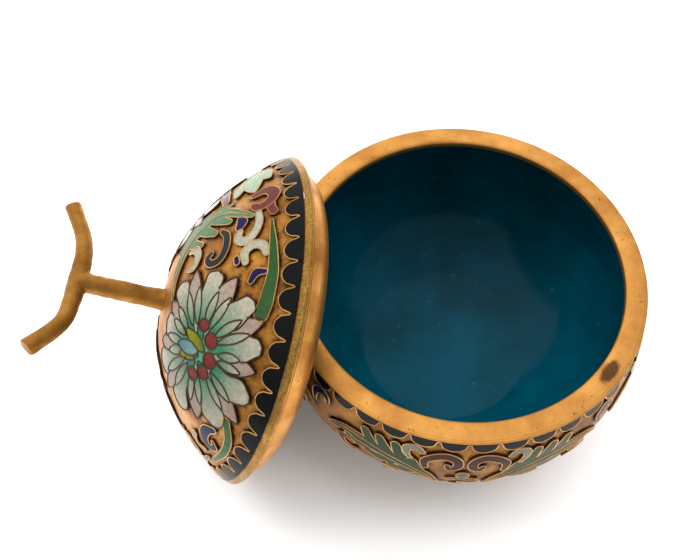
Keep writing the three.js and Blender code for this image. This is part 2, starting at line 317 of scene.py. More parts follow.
def finish_mesh(made):
    """Merges doubles, drops empty faces, turns faces outward and shades smooth where it bends little."""
    bm = bmesh.new()
    bm.from_mesh(made.data)
    bmesh.ops.remove_doubles(bm, verts=bm.verts, dist=1e-7)
    bmesh.ops.dissolve_degenerate(bm, dist=1e-8, edges=bm.edges)
    bmesh.ops.recalc_face_normals(bm, faces=bm.faces)
    for face in bm.faces:
        face.smooth = True
    for edge in bm.edges:
        bend = edge.calc_face_angle(0.0)
        edge.smooth = len(edge.link_faces) == 2 and bend < math.radians(SMOOTH_UNDER)
    bm.to_mesh(made.data)
    bm.free()
    return made


def settle(made, slot, *nodes):
    """Ties a finished piece to the frame."""
    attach(made, "root")
    if nodes:
        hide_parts(*nodes)
    print(made.name, len(made.data.polygons), "faces")


def turned(name, profile, look, steps=288, lid=False, closed=False):
    """A lathe-turned piece from (radius, height) points in mm; ends on the axis or closes."""
    profile = np.array(profile, float)
    n = len(profile)
    angle = np.linspace(0, 2 * math.pi, steps, endpoint=False)
    ring = np.stack([np.outer(profile[:, 0], np.cos(angle)), np.outer(profile[:, 0], np.sin(angle)),
                     np.repeat(profile[:, 1:], steps, 1)], -1).reshape(-1, 3)
    points = in_lid(ring) if lid else BOWL + ring
    rows = n if closed else n - 1
    faces = []
    for i in range(rows):
        j = (i + 1) % n
        for a in range(steps):
            b = (a + 1) % steps
            faces.append((i * steps + a, i * steps + b, j * steps + b, j * steps + a))
    return finish_mesh(mesh_object(name, points, faces, look))


def spline(points, steps=14):
    """A smooth curve (Catmull-Rom) through points, with some steps between each two."""
    p = np.array(points, float)
    q = np.vstack([2 * p[0] - p[1], p, 2 * p[-1] - p[-2]])
    out = []
    for a, b, c, d in zip(q, q[1:], q[2:], q[3:]):
        for t in np.arange(steps) / steps:
            square, cube = 2 * a - 5 * b + 4 * c - d, 3 * b - a - 3 * c + d
            out.append(0.5 * (2 * b + (c - a) * t + square * t**2 + cube * t**3))
    return np.vstack([out, p[-1]])


print("ready to turn; under", SMOOTH_UNDER, "degrees is smooth")

# %% [markdown]
# ## The gilding
# Fire-gilt copper is a warm satin metal: bright where hands polish it, brown in its pits. It is all
# one metal, so one function makes every tone of it, and a piece adds its own marks: lathe lines on
# the rim, grime and painted shade in the ground beside the motifs, a dull band on the lid's edge and
# one stain. Every pattern's size is in millimetres.

# %% Marks on the gilding
def lathe_lines(tree, mm, centre):
    """Fine uneven rings about an upright axis."""
    outward = add(tree, VECTOR, MINUS, _0=mm, _1=centre)
    level = add(tree, VECTOR, TIMES, _0=outward, _1=(1, 1, 0))
    radius = add(tree, VECTOR, LENGTH, "Value", _0=level)
    wander = add(tree, NOISE, Vector=mm, Scale=1 / 14)
    uneven = add(tree, MATH, TIMES_PLUS, _0=wander, _1=0.5, _2=radius)
    return add(tree, NOISE, {"noise_dimensions": "1D"}, W=uneven, Scale=4.5, Detail=4.0, Roughness=0.7)


def grime_and_shade_by_wires(tree, mm, tone, grain):
    """Browned grain, and near black patches in the ground close to the wires: partly dirt, partly painted
    shade in the recess beside each raised motif.
    """
    near = add(tree, "ShaderNodeAttribute", {"attribute_name": "grime_and_shade"}, "Fac")
    cloud = add(tree, NOISE, Vector=mm, Scale=1 / 1.6, Detail=4.0, Roughness=0.6)
    patchy = add(tree, RANGE, Value=cloud, From_Min=0.34, From_Max=0.6, To_Min=0.15)
    brown = add(tree, RANGE, Value=grain, From_Min=0.5, From_Max=0.68, To_Max=0.6)
    tone = add(tree, MIX, COLOURS, 2, _0=brown, _6=tone, _7=colour("#7A4A18"))
    # near the wires the ground turns near black: dirt, and painted shade in the recess
    dirt_and_shade = add(tree, MATH, TIMES, _0=near, _1=patchy)
    return add(tree, MIX, COLOURS, 2, _0=dirt_and_shade, _6=tone, _7=colour("#1E1008"))


def band_above(tree, mm, tone, grain, start, axis, tint):
    """A gritty tint on all that lies above a point along an axis."""
    offset = add(tree, VECTOR, MINUS, _0=mm, _1=start)
    above = add(tree, VECTOR, DOT, "Value", _0=offset, _1=axis)
    band = add(tree, RANGE, Value=above, From_Min=-0.1, From_Max=0.1)
    gritty = add(tree, RANGE, Value=grain, From_Min=0.42, From_Max=0.6, To_Min=0.35)
    share = add(tree, MATH, TIMES, _0=band, _1=gritty)
    return add(tree, MIX, COLOURS, 2, _0=share, _6=tone, _7=colour(tint))


def stained(tree, mm, tone, at, size, turn):
    """One dark oval stain with a ragged edge, turned by some degrees about the upright."""
    offset = add(tree, VECTOR, MINUS, _0=mm, _1=at)
    along = add(tree, "ShaderNodeVectorRotate", {"rotation_type": "Z_AXIS"}, Vector=offset,
                Angle=math.radians(turn))
    squeezed = add(tree, VECTOR, {"operation": "DIVIDE"}, _0=along, _1=size)
    far = add(tree, VECTOR, LENGTH, "Value", _0=squeezed)
    rag = add(tree, NOISE, Vector=mm, Scale=1 / 0.8)
    ragged = add(tree, MATH, TIMES_PLUS, _0=rag, _1=0.5, _2=far)
    share = add(tree, RANGE, Value=ragged, From_Min=1.5, From_Max=1.1, To_Max=0.85)
    return add(tree, MIX, COLOURS, 2, _0=share, _6=tone, _7=colour("#3E2A1E"))


print("marks: lathe lines, grime, band, stain")

# %% Gilding
def gilding(name, light, dark, rough, lines=None, grime_and_shade=False, band=None, stain=None):
    """Gilt copper; light and dark are its polished and worn tones."""
    made, tree, shader, mm = material(name)
    # worn clouds 6 mm across, a grain of 0.35 mm and pits 0.7 mm apart
    cloud = add(tree, NOISE, Vector=mm, Scale=1 / 6.0, Detail=4.0, Roughness=0.6)
    grain = add(tree, NOISE, Vector=mm, Scale=1 / 0.35, Detail=3.0, Roughness=0.6)
    spots = add(tree, NOISE, Vector=mm, Scale=1 / 0.7)
    worn = add(tree, RANGE, Value=cloud, From_Min=0.35, From_Max=0.68)
    pits = add(tree, RANGE, Value=spots, From_Min=0.68, From_Max=0.74, To_Max=0.7)
    tone = add(tree, MIX, COLOURS, 2, _0=worn, _6=colour(light), _7=colour(dark))
    tone = add(tree, MIX, COLOURS, 2, _0=pits, _6=tone, _7=colour("#5A3415"))
    height, depth = grain, 0.05
    if lines is not None:
        rings = lathe_lines(tree, mm, lines)
        scored = add(tree, RANGE, Value=rings, From_Min=0.52, From_Max=0.72, To_Max=0.45)
        tone = add(tree, MIX, COLOURS, 2, _0=scored, _6=tone, _7=colour("#9A6226"))
        height = add(tree, MIX, _0=0.6, _2=grain, _3=rings)
    # the ground beside the wires darkens with dirt and painted shade
    if grime_and_shade:
        tone, depth = grime_and_shade_by_wires(tree, mm, tone, grain), 0.12
    if band:
        tone = band_above(tree, mm, tone, grain, *band)
    if stain:
        tone = stained(tree, mm, tone, *stain)
    satin = add(tree, RANGE, Value=cloud, From_Min=0.3, From_Max=0.75, To_Min=rough - 0.08,
                To_Max=rough + 0.12)
    bump = add(tree, "ShaderNodeBump", Strength=0.6, Distance=depth * MM, Height=height)
    feed(tree, shader, Base_Color=tone, Metallic=0.9, Roughness=satin, Normal=bump)
    return made


STAIN = (BOWL + (24.3, -22.8, 39.4), (2.5, 1.15, 4.0), -46.8)   # where, its half sizes, its turn
DULL_BAND = (LID_CENTRE - 0.35 * lid_axis, lid_axis, "#7A6228")
rim_gilt = gilding("worn_gilt_rim", "#E6A554", "#C48640", 0.42, lines=BOWL, stain=STAIN)
lid_gilt = gilding("worn_gilt_lid_edge", "#DC9E50", "#AE7232", 0.4, band=DULL_BAND)
ground_gilt = gilding("recessed_gilt_lid_ground", "#CE9040", "#9C6424", 0.45, grime_and_shade=True)
# the bowl's ground is the lid's ground gilt made darker: painted shade on a wall that faces down and away
# from the lamps
shaded_bowl_ground = gilding("recessed_gilt_bowl_ground_painted_shade", "#A87024", "#744612", 0.45, grime_and_shade=True)
stem_gilt = gilding("cast_gilt_stem", "#B07C38", "#86591F", 0.5)
wire_gilt = gilding("gilt_wire", "#D4A468", "#A8763A", 0.4)
dark_wire = gilding("tarnished_wire", "#5A4030", "#3E2A1E", 0.5)
side_gilt = gilding("tarnished_sides", "#7A5222", "#3E2610", 0.55)
print("eight gilt finishes made")

# %% [markdown]
# ## The enamel
# Polished enamel is coloured glass over metal: a body colour with fine dark pits under a smooth skin
# that years of handling have made satin, so its reflection is kept weak. The inside is one cloudy
# teal with pale unmelted grains. The cells read their colour from an attribute, because a petal
# passes from one colour to another along its length.

# %% Enamels
SATIN_GLOSS = 0.07
GLASS_IOR = 1.52


def enamel(name, rough, tones=None, flecks=0.0):
    """Coloured glass of two cloudy tones; without tones it reads the colour laid on each cell."""
    made, tree, shader, mm = material(name)
    if tones:
        cloud = add(tree, NOISE, Vector=mm, Scale=1 / 16, Detail=5.0, Roughness=0.55)
        clouds = add(tree, RANGE, Value=cloud, From_Min=0.36, From_Max=0.7)
        tone = add(tree, MIX, COLOURS, 2, _0=clouds, _6=colour(tones[0]), _7=colour(tones[1]))
    else:
        laid = add(tree, "ShaderNodeVertexColor", {"layer_name": "glaze"}, "Color")
        grain = add(tree, NOISE, Vector=mm, Scale=1 / 0.7, Detail=4.0, Roughness=0.65)
        mottle = add(tree, RANGE, Value=grain, From_Min=0.3, From_Max=0.7, To_Min=0.72, To_Max=1.18)
        grey = add(tree, "ShaderNodeCombineColor", Red=mottle, Green=mottle, Blue=mottle)
        tone = add(tree, MIX, {**COLOURS, "blend_type": "MULTIPLY"}, 2, _0=1.0, _6=laid, _7=grey)
    spots = add(tree, NOISE, Vector=mm, Scale=1 / 0.28, Detail=1.0)
    pits = add(tree, RANGE, Value=spots, From_Min=0.7, From_Max=0.76, To_Max=0.5)
    tone = add(tree, MIX, COLOURS, 2, _0=pits, _6=tone, _7=colour("#2A2622"))
    if flecks:
        grains = add(tree, NOISE, Vector=mm, Scale=1 / 1.9, Detail=3.0, Roughness=0.6)
        pale = add(tree, RANGE, Value=grains, From_Min=0.66, From_Max=0.78, To_Max=flecks)
        tone = add(tree, MIX, COLOURS, 2, _0=pale, _6=tone, _7=colour("#5E8C8C"))
    ripple = add(tree, NOISE, Vector=mm, Scale=1 / 1.2, Detail=3.0)
    bump = add(tree, "ShaderNodeBump", Strength=0.6, Distance=0.02 * MM, Height=ripple)
    feed(tree, shader, Base_Color=tone, Roughness=rough, IOR=GLASS_IOR, Specular_IOR_Level=SATIN_GLOSS,
         Normal=bump)
    return made


teal_glaze = enamel("teal_counter_enamel", 0.1, ("#00323D", "#014254"), 0.2)
glaze = enamel("cell_enamel", 0.2)
print("two enamels made")

# %% [markdown]
# ## Turned copper and gilt
# The bowl was raised or spun from sheet copper, so its wall, rim and foot are all turned forms. The
# lathe profile is the real section of the wall, and every corner is rounded as a worn one is.

# %% The bowl's shell, lining, rim and foot
COPPER, ENAMEL = 1.2, 0.6
SHELL_IN = COPPER + 0.4
LINING_IN = SHELL_IN + ENAMEL
SKIN = 0.05                 # a gap that keeps two surfaces from lying in each other
EDGE_S = 1.6                # mm down the wall where the inside surfaces begin, under the rim
FLAT_S = wall.total - 0.8   # where they end, at the flat bottom
EDGE_Z = SHOULDER_Z - 0.6
FOOT_IN, FOOT_TOP = FOOT_R - 2.4, FOOT_Z - SKIN

# its outside wears the bowl's ground gilt, darkened as painted shade
shell = turned("bowl_shell", [
    (0, FOOT_Z + COPPER), *wall.run(FLAT_S, EDGE_S, 60, -SHELL_IN), (SHOULDER_R - SHELL_IN, EDGE_Z),
    *wall.run(0, wall.total, 110), (0, FOOT_Z)], shaded_bowl_ground, steps=480)
lining = turned("bowl_inside_enamel", [
    (0, FOOT_Z + COPPER + SKIN + ENAMEL), *wall.run(FLAT_S, EDGE_S, 80, -LINING_IN - SKIN),
    (SHOULDER_R - LINING_IN - SKIN, EDGE_Z), (SHOULDER_R - SHELL_IN - SKIN, EDGE_Z),
    *wall.run(EDGE_S, FLAT_S, 40, -SHELL_IN - SKIN), (0, FOOT_Z + COPPER + SKIN)], teal_glaze)
rim = turned("bowl_gilt_rim", spline([
    (31.65, 37.95), (32.4, 37.95), (32.6, 38.5), (33.4, 38.58), (34.95, 39.1), (35.4, 39.15),
    (35.6, 39.28), (35.45, 39.44), (34.6, 39.57), (33.4, 39.65), (32.3, 39.58), (31.7, 39.35),
    (31.5, 38.95), (31.52, 38.4)], 5), rim_gilt, closed=True)
foot = turned("gilt_foot_ring", [
    (FOOT_IN, 0.15), (FOOT_IN + 0.15, 0), (FOOT_R - 0.5, 0), (FOOT_R - 0.2, 0.2), (FOOT_R, FOOT_TOP),
    (FOOT_IN, FOOT_TOP)], rim_gilt, closed=True)
base = turned("underside_enamel", [
    (0, FOOT_TOP), (FOOT_IN - SKIN, FOOT_TOP), (FOOT_IN - SKIN, FOOT_TOP - 0.55), (0, FOOT_TOP - ENAMEL)],
    teal_glaze)
settle(lining, "teal_enamel", "bowl_lining")
settle(rim, "gilt", "bowl_rim")
settle(foot, "gilt", "foot_ring")
settle(base, "teal_enamel", "base_enamel")

# %% [markdown]
# ## The lid's turned pieces
# The lid is a thin dome with enamel inside, and its gilt edge is one turned ring: a rounded lip that
# overhangs the rim of the bowl and a bulging flange that drops into its mouth. One closed section
# makes both, as one casting would be.

# %% The lid's shell, lining and gilt edge
DOME_IN, LID_LINING_IN = 1.0, 1.55
LIP_S = ENAMEL_END - 2.2   # where the copper inside gives way to the flange
lid_shell = turned("lid_shell", [
    (0, LID_RISE), *dome.run(0.4, ENAMEL_END, 100), *dome.run(LIP_S, 1, 30, -DOME_IN),
    (0, LID_RISE - DOME_IN)], ground_gilt, steps=480, lid=True)
lid_lining = turned("lid_inside_enamel", [
    (0, LID_RISE - DOME_IN - SKIN), *dome.run(1, LIP_S, 40, -DOME_IN - SKIN),
    *dome.run(LIP_S - 0.4, 1, 40, -LID_LINING_IN), (0, LID_RISE - LID_LINING_IN)], teal_glaze, lid=True)
edge_top, edge_in = dome.at(ENAMEL_END + SKIN), dome.at(ENAMEL_END + SKIN, -DOME_IN)
lid_edge = turned("lid_gilt_edge", [
    edge_top, (32.5, 0.5), (32.9, 0.2), (32.98, -0.1), (32.8, -0.5), (32.3, -0.8), (31.85, -0.88),
    (31.5, -0.8), (31.35, -1.1), (31.15, -1.8), (30.85, -2.5), (30.3, -3.4), (29.5, -4.15),
    (28.5, -4.75), (27.7, -5.03), (27.3, -5.06), (27.0, -4.9), (27.0, -4.6), (28.0, -3.9), (28.9, -3.0),
    (edge_in[0] - 0.9, edge_in[1] - 0.75), edge_in], lid_gilt, lid=True, closed=True)
settle(lid_lining, "teal_enamel", "lid_lining")
settle(lid_edge, "gilt", "lid_rim")

# %% [markdown]
# ## Drawing the cloisons
# The wires of each motif are bent by hand, so their outlines are free curves: strokes that swell and
# taper, petals and ovals. Each is drawn flat and closed, from the few points that its shape needs.

# %% Flat outlines
STROKE_STEPS = 10   # between two points of a stroke
WAVE = 0.1          # how far a wide petal's edge waves, as a part of its width


def stroke(points, widths):
    """The outline of a stroke along a curve, its ends rounded; widths are half widths."""
    line = spline(points, STROKE_STEPS)
    t = np.gradient(line, axis=0)
    t /= np.linalg.norm(t, axis=1)[:, None]
    side = np.c_[-t[:, 1], t[:, 0]]
    half = np.interp(np.linspace(0, 1, len(line)), np.linspace(0, 1, len(widths)), widths)[:, None]
    turn = np.linspace(0, math.pi, 7)[1:-1]
    cap_end = [line[-1] + half[-1] * (side[-1] * -math.cos(a) + t[-1] * math.sin(a)) for a in turn]
    cap_start = [line[0] + half[0] * (side[0] * math.cos(a) - t[0] * math.sin(a)) for a in turn]
    return np.vstack([line - side * half, cap_end, (line + side * half)[::-1], cap_start])


def petal(centre, angle, base, reach, width, pointed=False):
    """A petal's outline from its base to its tip; wide ones have a wavy edge."""
    s = np.linspace(0, 1, 25)
    a = math.radians(angle)
    if pointed:
        half = width / 2 * np.sin(math.pi * (0.06 + 0.94 * s) ** 1.15) ** 0.8
    else:
        half = width / 2 * (0.3 + 0.7 * np.clip(s / 0.72, 0, 1) ** 1.4)
        half *= np.sqrt(np.clip(1 - (np.clip(s - 0.8, 0, 1) / 0.2) ** 2, 0, 1))
        fade = np.clip((s - 0.3) * 4, 0, 1) * np.clip((1 - s) * 8, 0, 1)
        half += WAVE * width * np.sin(11 * s + a) * fade
    along = base + (reach - base) * s
    forward, across = np.array([math.cos(a), math.sin(a)]), np.array([-math.sin(a), math.cos(a)])
    right_side = centre + np.outer(along, forward) - np.outer(half, across)
    left_side = centre + np.outer(along, forward) + np.outer(half, across)
    return np.vstack([right_side[:-1], left_side[:0:-1]])


def blob(centre, rx, ry=None, n=20):
    """An oval."""
    a = np.linspace(0, 2 * math.pi, n, endpoint=False)
    return np.c_[centre[0] + rx * np.cos(a), centre[1] + (ry or rx) * np.sin(a)]


def inside(points, outline):
    """Which points lie inside an outline."""
    x, y = points[:, :1], points[:, 1:]
    a, b = outline, np.roll(outline, -1, 0)
    crosses = (a[:, 1] > y) != (b[:, 1] > y)
    with np.errstate(divide="ignore", invalid="ignore"):
        at = (b[:, 0] - a[:, 0]) * (y - a[:, 1]) / (b[:, 1] - a[:, 1]) + a[:, 0]
    return (crosses & (x < at)).sum(1) % 2 == 1


def counter_clockwise(outline):
    """The outline, run the way that makes its area positive."""
    x, y = outline.T
    area = (x * np.roll(y, -1) - y * np.roll(x, -1)).sum()
    return outline if area > 0 else outline[::-1]


print("a petal has", len(petal((0, 0), 0, 2, 14, 5)), "points")

# %% [markdown]
# ## Islands of enamel
# A motif is several cells of glass side by side, standing proud of the ground. Cells are laid in
# order, so a petal in front cuts the one behind it. Cutting the whole motif into triangles along
# every outline at once gives one island with crisp colour borders. Boolean cuts would do the same,
# one by one and far more slowly.

# %% Cutting cells and painting them
GLASS = (0.54, 0.5, 0.45, 1.0)   # what a thick, slightly warm glaze leaves of each pure colour
TOP, FOOT = 0.4, -0.12           # the polished top, and how deep the sides sink into the ground
SHARP_OVER = 35                  # degrees


def cut_cells(outlines, spacing):
    """Cuts overlapping outlines, front ones first, into flat triangles; returns the points, the
    triangles and which outline owns each."""
    points, edges = [], []
    for line in outlines:
        first = len(points)
        points += line.tolist()
        edges += [(first + i, first + (i + 1) % len(line)) for i in range(len(line))]
    every = np.vstack(outlines)
    (x0, y0), (x1, y1) = every.min(0), every.max(0)
    grid = np.stack(np.meshgrid(np.arange(x0, x1, spacing), np.arange(y0, y1, spacing)), -1).reshape(-1, 2)
    # every second point steps aside, so that the triangles don't line up in rows
    grid[:, 0] += 0.31 * spacing * ((np.arange(len(grid)) % 2) - 0.5)
    keep = np.zeros(len(grid), bool)
    for line in outlines:
        keep |= inside(grid, line)
    grid = grid[keep]
    # points too near an outline would make slivers
    near = np.array([np.min(np.hypot(*(every - g).T)) for g in grid]) if len(grid) else np.zeros(0)
    points += grid[near > 0.35 * spacing].tolist()
    verts, _, tris, *_ = geometry.delaunay_2d_cdt([Vector(p) for p in points], edges, [], 0, 1e-4)
    verts = np.array([v[:] for v in verts])
    tris = np.array([t[:] for t in tris if len(t) == 3])
    middle = verts[tris].mean(1)
    owner = np.full(len(tris), -1)
    for i in range(len(outlines) - 1, -1, -1):
        owner[inside(middle, outlines[i])] = i
    tris, owner = tris[owner >= 0], owner[owner >= 0]
    a, b, c = verts[tris[:, 0]], verts[tris[:, 1]], verts[tris[:, 2]]
    ab, ac = b - a, c - a
    flip = ab[:, 0] * ac[:, 1] - ab[:, 1] * ac[:, 0] < 0
    tris[flip] = tris[flip][:, [0, 2, 1]]
    return verts, tris, owner


def tone_at(cell, point):
    """A cell's colour at a flat point, under the glaze."""
    first = np.array(colour(cell[1])) * GLASS
    if len(cell) == 2:
        return first
    start, end = np.array(cell[3], float), np.array(cell[4], float)
    blend = np.clip(np.dot(point - start, end - start) / np.dot(end - start, end - start), 0, 1)
    return first * (1 - blend) + np.array(colour(cell[2])) * GLASS * blend


def island_mesh(name, cells, outlines, place, spacing=0.9):
    """The island itself. Its top and bottom are glass; its sides are the metal of the wire."""
    verts, tris, owner = cut_cells(outlines, spacing)
    used = {(int(t[i]), int(t[i - 2])): who for who, t in enumerate(tris) for i in range(3)}
    border = [(p, q, who) for (p, q), who in used.items() if (q, p) not in used]
    n = len(verts)
    faces = tris.tolist() + (tris[:, ::-1] + n).tolist() + [(q, p, p + n, q + n) for p, q, _ in border]
    owners = [*owner, *owner, *(owner[who] for _, _, who in border)]
    made = mesh_object(name, np.vstack([place(verts, TOP), place(verts, FOOT)]), faces, glaze)
    made.data.materials.append(side_gilt)
    made.data.polygons.foreach_set("material_index", [0] * (2 * len(tris)) + [1] * len(border))
    layer = made.data.color_attributes.new("glaze", "FLOAT_COLOR", "CORNER")
    tones = [tone_at(cells[who], verts[v % n]) for face, who in zip(faces, owners) for v in face]
    layer.data.foreach_set("color", np.array(tones).ravel())
    bm = bmesh.new()
    bm.from_mesh(made.data)
    bmesh.ops.delete(bm, geom=[v for v in bm.verts if not v.link_faces], context="VERTS")
    bm.to_mesh(made.data)
    bm.free()
    for polygon in made.data.polygons:
        polygon.use_smooth = True
    made.data.set_sharp_from_angle(angle=math.radians(SHARP_OVER))
    return made


print("an island stands", TOP, "mm proud")

# %% [markdown]
# ## Paths for the wires
# Every island is edged by wire, and wire also parts its cells. A path is the stretch of an outline
# that no cell in front covers. The paths are only gathered here, by the kind of wire and by the
# surface they lie on, and swept later all at once.

# %% A motif and its wires
FLOWER_WIRES, LID_WIRES, BOWL_WIRES = [], [], []   # each path is (points in mm, closed)
WIRE_Z = TOP - 0.03                                # the wire's middle lies just under the top


def lay_wires(wires, place, paths):
    """Keeps the seen stretches of each outline as a path for the wire."""
    for line, seen in wires:
        if seen.all():
            paths.append((place(np.vstack([line, line[:1]]), WIRE_Z), True))
            continue
        start = int(np.argmin(seen))
        line, seen = np.roll(line, -start, 0), np.roll(seen, -start)
        run = []
        for p, s in zip(np.vstack([line, line[:1]]), np.r_[seen, False]):
            if s:
                run.append(p)
                continue
            if len(run) > 1:
                paths.append((place(np.array(run + [p]), WIRE_Z), False))
            run = []


def motif(name, cells, place, slot, paths, *nodes, spacing=0.9, fused=False, bare=0):
    """One raised motif and its wires. cells: (outline, colour) or (outline, colour, colour at the
    far end, from, to), front ones first; from and to are two flat points between which the first
    colour passes into the second. Fused cells share one outline; the last bare cells have none."""
    outlines = [counter_clockwise(np.asarray(c[0], float)) for c in cells]
    settle(island_mesh(name, cells, outlines, place, spacing), slot, *nodes)
    wires = []
    for i, line in enumerate(outlines):
        seen = np.ones(len(line), bool)
        for front in outlines[:i] + (outlines[i + 1:] if fused else []):
            seen &= ~inside(line, front)
        wires.append((line, seen))
    lay_wires(wires[:len(wires) - bare], place, paths)


print("wires lie at", round(WIRE_Z, 2), "mm")

# %% [markdown]
# ## The flowers
# Three large flowers lie round the lid. Each has broad wavy petals that pass from turquoise at the
# heart to white at the tip, pointed pinkish petals behind them, and slim ones between. The heart is
# an arc of red seeds over a pair of yellow-green leaves that hold a blue almond.

# %% One flower's cells
FLOWER_TURNS = [0, 140, 252]
HEART = np.array([15.9, 13.8])
WHITE, TURQUOISE, PINKISH = "#CBCABC", "#3F9678", "#BDA79E"
# each petal is (degrees, reach, width)
BROAD = [(107, 14.9, 4.9), (72, 13.6, 4.9), (21.5, 13.2, 4.6), (-25, 14.9, 5.0), (-70, 16.2, 4.3),
         (-103, 15.6, 4.3), (-137, 12.2, 4.2), (-172, 14.0, 4.4), (148, 14.7, 4.8)]
POINTED = [(91, 15.1, 4.0), (50, 12.4, 4.2), (-2.5, 14.6, 4.6), (-48, 14.6, 4.4), (-87, 16.7, 3.6),
           (-119, 13.8, 4.4), (-155, 12.8, 4.0), (170, 14.8, 4.0), (130, 15.3, 4.6)]
SEEDS = [((-3.6, 2.9), 1.2), ((-0.4, 3.4), 1.5), ((2.6, 1.3), 1.5), ((3.8, -1.5), 1.35), ((2.9, -4.3), 1.35)]
# each leaf of the heart is (where, degrees, reach, width, colour, far colour, where that is)
HEART_LEAVES = [((-3.6, -5.4), 52, 6.3, 2.7, "#3E84A0", "#8FC0C4", (0.3, -0.6)),
                ((-4.8, -1.7), 26, 6.3, 2.6, "#A8A82A", "#6A8624", (1.2, 0.8)),
                ((-1.7, -5.9), 66, 5.8, 2.4, "#9EA42A", "#5E7C24", (1.0, -0.6))]


def from_heart(angle, reach):
    """The flat point that lies so far from the heart in a direction."""
    a = math.radians(angle)
    return HEART + reach * np.array([math.cos(a), math.sin(a)])


def flower_cells():
    cells = []
    for at, r in SEEDS:
        cells.append((blob(HEART + at, r), "#8C4038", "#6E2A24", HEART + at, HEART + at + (r, -r)))
    for at, angle, reach, width, tone, far_tone, end in HEART_LEAVES:
        cells.append((petal(HEART + at, angle, 0, reach, width, True), tone, far_tone, HEART + at,
                      HEART + end))
    for angle, reach, width in POINTED:
        for lean, part in ((-7.5, 0.78), (7.5, 0.74)):
            cells.append((petal(HEART, angle + lean, 4.4, reach * part, 1.75, True), TURQUOISE, WHITE,
                          from_heart(angle, 4.6), from_heart(angle, reach * 0.72)))
    for angle, reach, width in BROAD:
        cells.append((petal(HEART, angle, 2.0, reach, width), TURQUOISE, WHITE,
                      from_heart(angle, 5.2), from_heart(angle, reach * 0.86)))
    for angle, reach, width in POINTED:
        cells.append((petal(HEART, angle, 3.0, reach, width, True), "#A5BEAE", PINKISH,
                      from_heart(angle, 6.0), from_heart(angle, reach * 0.85)))
    cells.append((blob(HEART, 6.2, n=40), "#58B397"))
    return cells


for number, turn in enumerate(FLOWER_TURNS, 1):
    motif(f"lid_flower_{number}_enamel", flower_cells(), on_lid(turn), "white_enamel", FLOWER_WIRES,
          f"lid_flower_{number}", bare=1)

# %% [markdown]
# ## Leaves of the lid
# Between the flowers run a long blade that follows the border, a lobed acanthus leaf, a bent stem and
# a pale leaf of three petals. A lobed leaf is several strokes fused into one outline, which is how
# one long wire would be bent round it.

# %% The lid's green leaves
blade = stroke([(-4.6, 31.8), (1.0, 32.5), (7.0, 32.2), (12.0, 30.2), (14.4, 28.5)],
               [0.25, 0.7, 1.0, 1.3, 1.35])
acanthus = [
    stroke([(-7.1, 27.4), (-8.6, 24.4), (-10.1, 21.2), (-10.3, 17.9), (-8.6, 14.3), (-5.3, 11.0), (-0.4, 8.9),
            (3.8, 8.2)], [0.5, 0.9, 1.2, 1.7, 1.9, 1.6, 1.0, 0.4]),
    stroke([(-9.6, 17.6), (-8.2, 20.4), (-7.2, 22.4)], [1.1, 0.95, 0.65]),
    stroke([(-8.4, 14.6), (-6.6, 17.4), (-5.4, 19.6)], [1.2, 1.05, 0.65]),
    stroke([(-6.4, 12.2), (-4.9, 14.4), (-4.1, 16.4)], [1.2, 0.95, 0.6]),
    stroke([(-12.4, 20.6), (-11.8, 17.6), (-9.8, 14.6)], [0.5, 1.0, 1.2]),
    stroke([(-12.6, 15.8), (-11.0, 13.6), (-8.6, 11.8)], [0.5, 1.0, 1.1]),
    stroke([(-11.0, 11.6), (-8.8, 10.4), (-5.6, 9.6)], [0.5, 0.9, 1.0])]
acanthus_vein = spline([(-7.6, 26.4), (-8.8, 24.0), (-10.1, 21.0), (-10.1, 17.8), (-8.4, 14.4), (-5.2, 11.2),
                        (-0.6, 9.1), (2.8, 8.5)])
side_stem = stroke([(29.0, 11.0), (32.0, 7.6), (33.3, 2.8), (33.0, -3.4)], [0.8, 0.85, 0.75, 0.45])
pale_petals = [petal((-25.4, 18.6), angle, 0, reach, width, True)
               for angle, reach, width in ((32, 13.0, 4.4), (52, 10.4, 3.8), (12, 11.2, 3.8))]

blade_cell = (blade, "#2A5A2A", "#40683C", (-4.6, 31.8), (14.4, 28.5))
leaf_cells = [(lobe, "#64906C", "#4E7A56", (-8.3, 27.6), (3.4, 8.4)) for lobe in acanthus]
stem_cell = (side_stem, "#3E7A50", "#5F9168", (29.0, 11.0), (33.0, -3.4))
pale_cells = [(line, "#86B698", "#AFC2AC", (-24, 18), (-15, 25)) for line in pale_petals]
for number, turn in enumerate(FLOWER_TURNS, 1):
    motif(f"lid_blade_{number}_enamel", [blade_cell], on_lid(turn), "green_enamel", LID_WIRES,
          f"lid_blade_{number}")
motif("lid_leaf_enamel", leaf_cells, on_lid(), "green_enamel", LID_WIRES, "lid_leaf", fused=True)
LID_WIRES.append((on_lid()(acanthus_vein, TOP), False))
motif("lid_side_stem_enamel", [stem_cell], on_lid(), "green_enamel", LID_WIRES)
motif("lid_pale_leaf_enamel", pale_cells, on_lid(), "white_enamel", LID_WIRES)

# %% [markdown]
# ## Curled strokes of the lid
# Short curls of white, cobalt, slate and dull red fill the ground round each flower. A curl is one
# bent stroke. The same set goes beside every flower, short of what the next flower covers.

